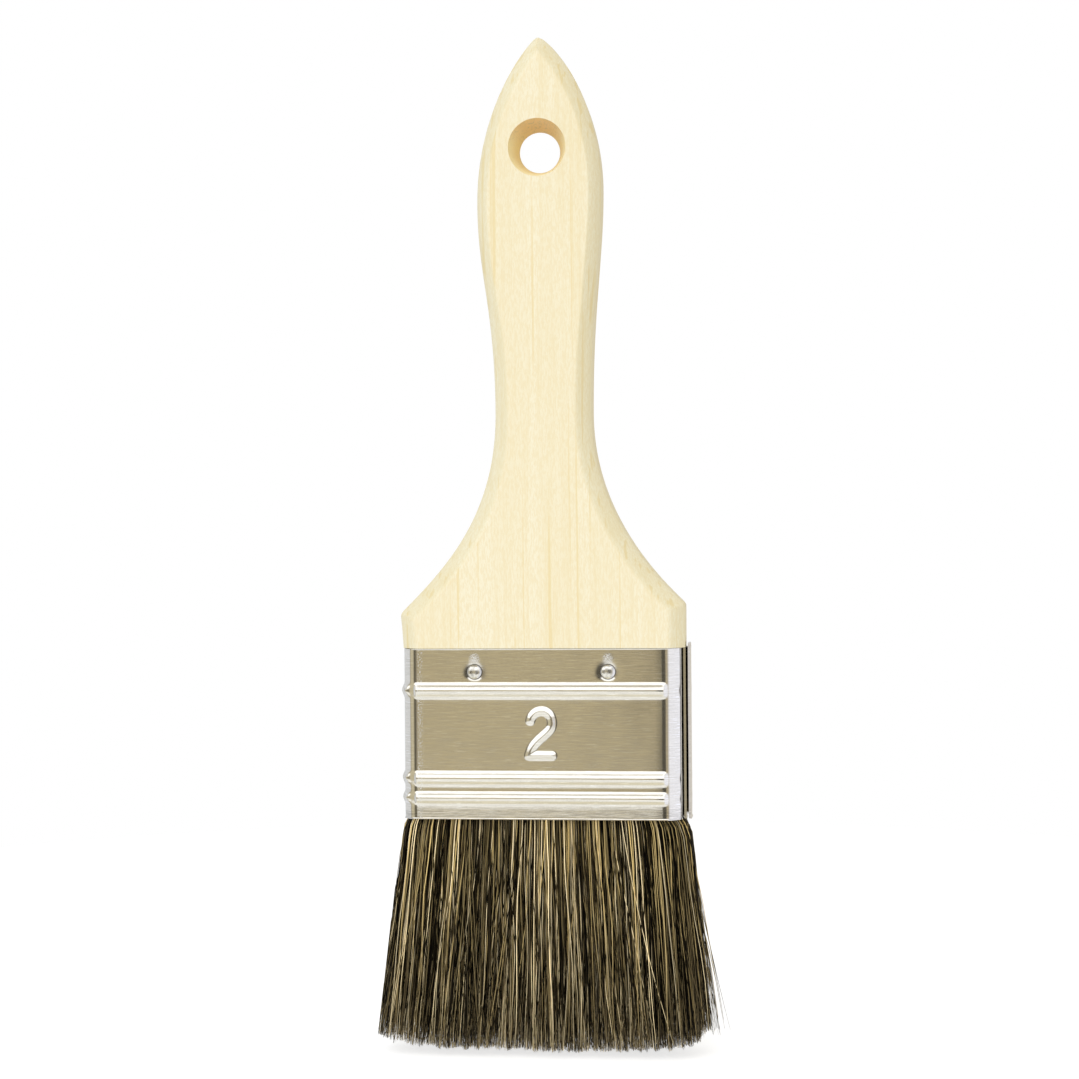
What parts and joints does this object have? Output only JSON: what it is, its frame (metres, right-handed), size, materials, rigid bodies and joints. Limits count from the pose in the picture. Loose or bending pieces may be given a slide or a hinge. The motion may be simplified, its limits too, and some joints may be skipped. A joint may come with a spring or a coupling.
{
  "type": "paint brush",
  "caption": "Flat paint brush: pale wooden handle with a hanging hole, beaded steel ferrule held by nails, and spread natural bristles that bend to front and back.",
  "frame": {"origin": "under the middle of the bristle tips, where the brush stands", "axes": "+Z along the brush from the tips to the handle's point, -Y out of the front face, +X to the right of someone facing the front"},
  "size_m": [0.0616, 0.014, 0.1805],
  "materials": {
    "pale_wood": "smooth sanded, unvarnished",
    "tinplate": "bright tin plate with fine horizontal brushing",
    "nail_steel": "bright plated",
    "plug_wood": "rough sawn",
    "resin": "cured epoxy",
    "bristle": "natural hog bristle, mixed black, brown and golden"
  },
  "bodies": {
    "brush_body": {"handle": "pale_wood", "ferrule": "tinplate", "nail_front_left": "nail_steel", "nail_front_right": "nail_steel", "nail_back_left": "nail_steel", "nail_back_right": "nail_steel", "spacer_plug": "plug_wood", "epoxy_set": "resin", "bristle_butts_front": "bristle", "bristle_butts_back": "bristle"},
    "bristle_head": {"bristle_row_front": "bristle", "bristle_row_back": "bristle"}
  },
  "joints": [
    {"name": "bristle_flex", "type": "hinge", "parent": "brush_body", "child": "bristle_head", "pos_m": [0, 0, 0.0374], "axis": [1, 0, 0], "range_deg": [-35, 35], "stiffness_Nm_per_rad": 0.15}
  ]
}
